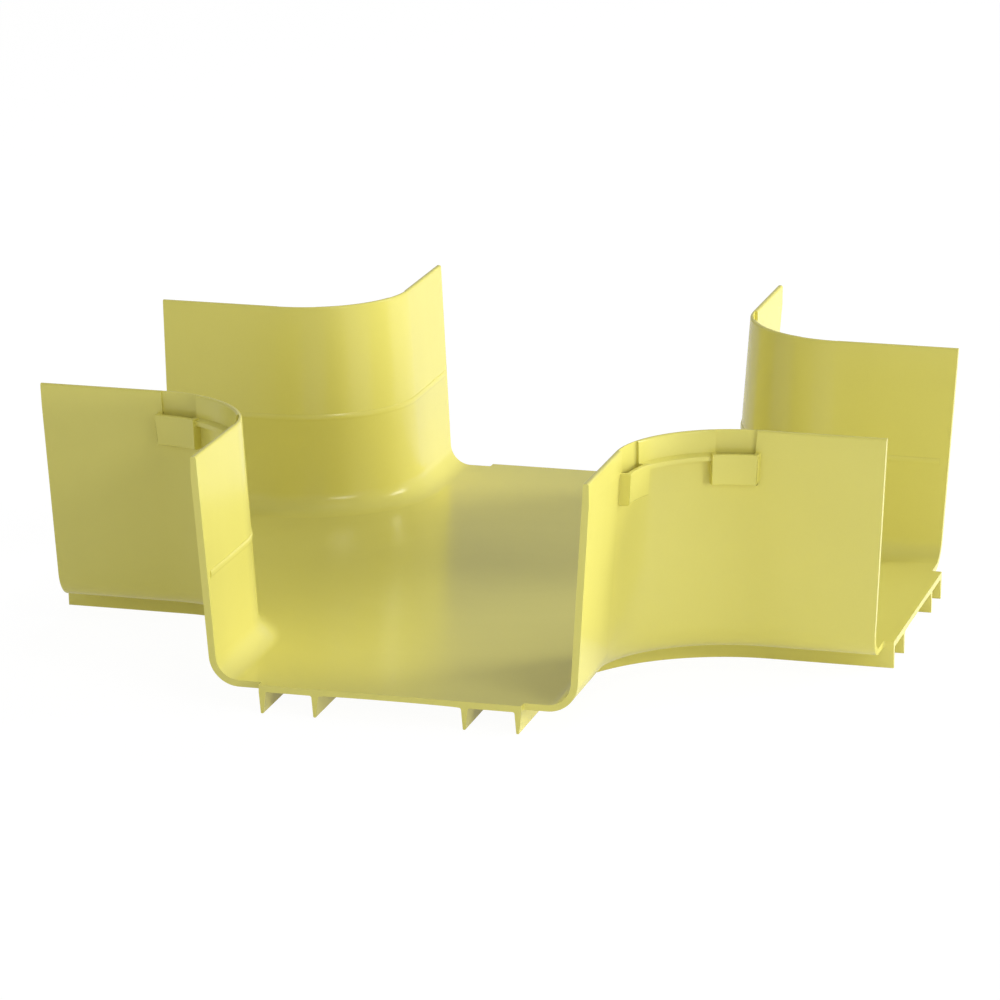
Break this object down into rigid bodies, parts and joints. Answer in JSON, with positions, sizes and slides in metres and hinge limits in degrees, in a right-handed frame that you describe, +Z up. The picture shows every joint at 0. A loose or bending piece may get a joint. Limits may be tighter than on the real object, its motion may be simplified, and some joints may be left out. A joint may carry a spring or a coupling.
{
  "type": "fibre raceway four-way cross",
  "caption": "Open-topped yellow plastic raceway cross: a flat floor between flared walls with curved corners routes fibre cables between straight channels meeting at right angles.",
  "frame": {"origin": "under the middle of the cross, on the plane of the fin tips", "axes": "+Z up out of the open side; +X and +Y along the two channels that cross, +X towards the right-hand opening of the picture and -Y towards its near opening"},
  "size_m": [0.3448, 0.3448, 0.1],
  "materials": {
    "moulding": "satin-gloss moulded yellow"
  },
  "bodies": {
    "root": {"cross_fitting": "moulding"}
  },
  "joints": []
}
